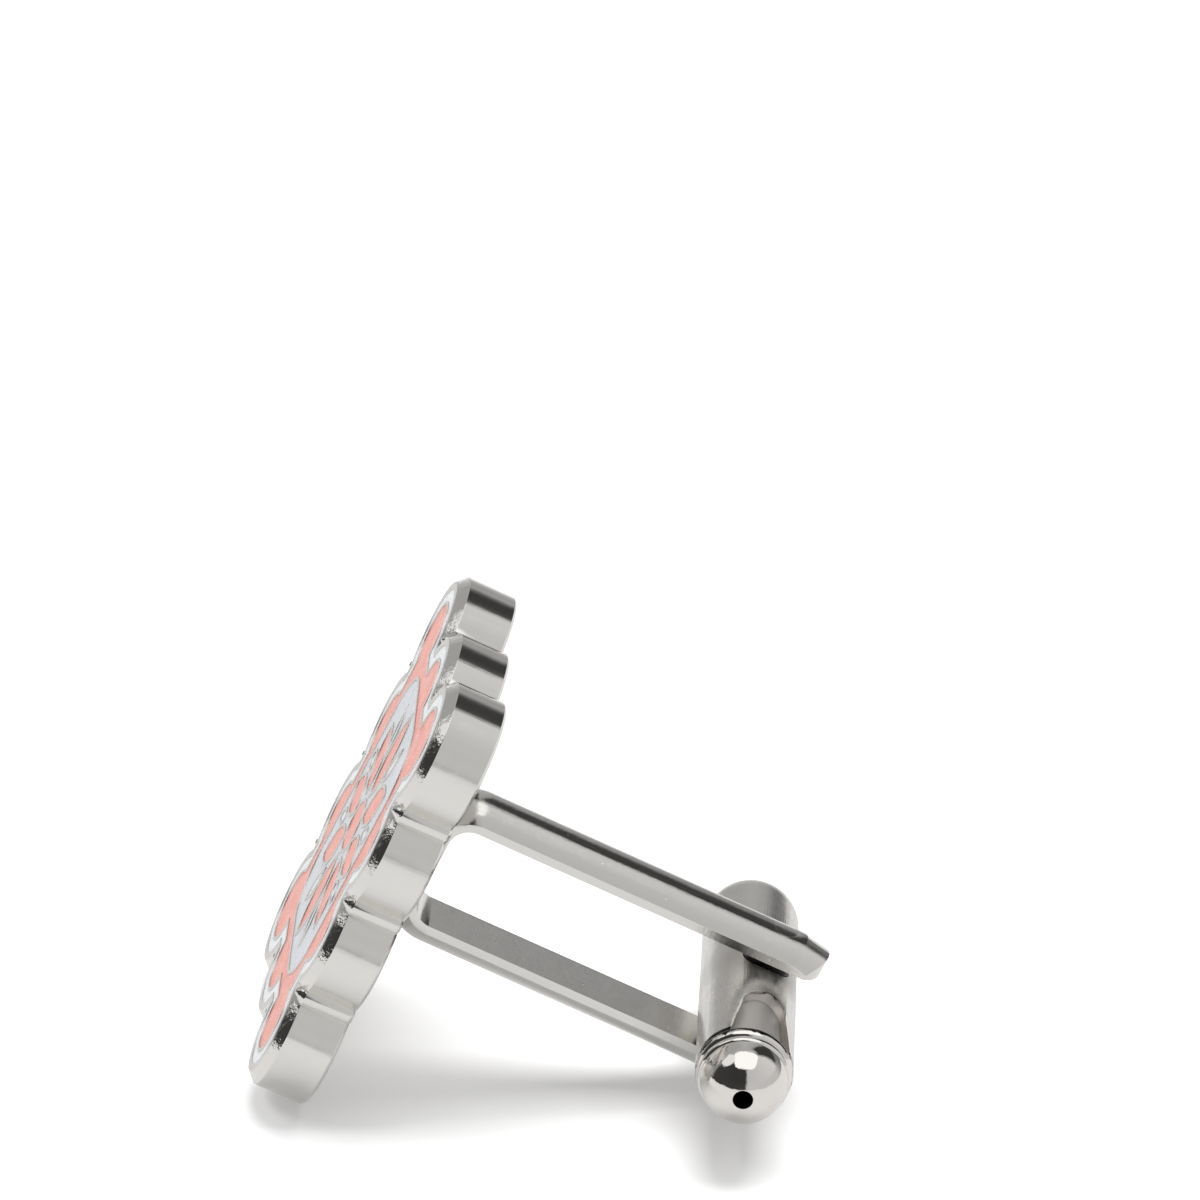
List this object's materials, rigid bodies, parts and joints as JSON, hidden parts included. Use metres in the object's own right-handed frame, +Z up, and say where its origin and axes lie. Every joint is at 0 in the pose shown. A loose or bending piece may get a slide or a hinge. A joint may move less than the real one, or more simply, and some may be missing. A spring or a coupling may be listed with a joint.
{
  "type": "swivel bar cufflink",
  "caption": "Cufflink with a lobed enamelled face plate, a U-shaped wire post and a hollow bullet-shaped toggle that turns between the post's arms.",
  "frame": {"origin": "the centre of the bounding box at the table it lies on", "axes": "+X from the face plate towards the post's arm tips, along the table; +Y along the toggle, towards its domed end; +Z up"},
  "size_m": [0.026, 0.0205, 0.0207],
  "materials": {
    "polished_plate": "struck brass under polished rhodium plating",
    "white_enamel": "fired enamel, near white, polished flush",
    "grey_enamel": "fired enamel, pale grey, polished flush",
    "salmon_enamel": "fired enamel, salmon, polished flush",
    "polished_post": "half round wire, polished rhodium plating, lightly scratched",
    "plated_solder": "soft satin plating over a solder fillet",
    "plated_pin": "pin end dressed flush and polished with the arm",
    "hard_steel": "turned and milled steel, oiled",
    "polished_toggle": "drawn tube, polished rhodium plating, satin at the domed end",
    "polished_cap": "turned cap, mirror polished plating",
    "spring_steel": "rolled spring strip"
  },
  "bodies": {
    "root": {"face_plate": "polished_plate", "border_enamel": "white_enamel", "band_enamel": "salmon_enamel", "field_enamel": "grey_enamel", "petal_enamel": "salmon_enamel", "dart_enamel": "white_enamel", "centre_enamel": "salmon_enamel", "post_frame": "polished_post", "solder_seam": "plated_solder", "pivot_pin": "plated_pin", "cam_post": "hard_steel"},
    "toggle": {"toggle_barrel": "polished_toggle", "end_cap": "polished_cap", "click_spring": "spring_steel"}
  },
  "joints": [
    {"name": "toggle_swivel", "type": "hinge", "parent": "root", "child": "toggle", "pos_m": [0.00934, -0.00031, 0.00431], "axis": [0.3971, 0, 0.9178], "continuous": true, "deforming": ["click_spring"]}
  ]
}
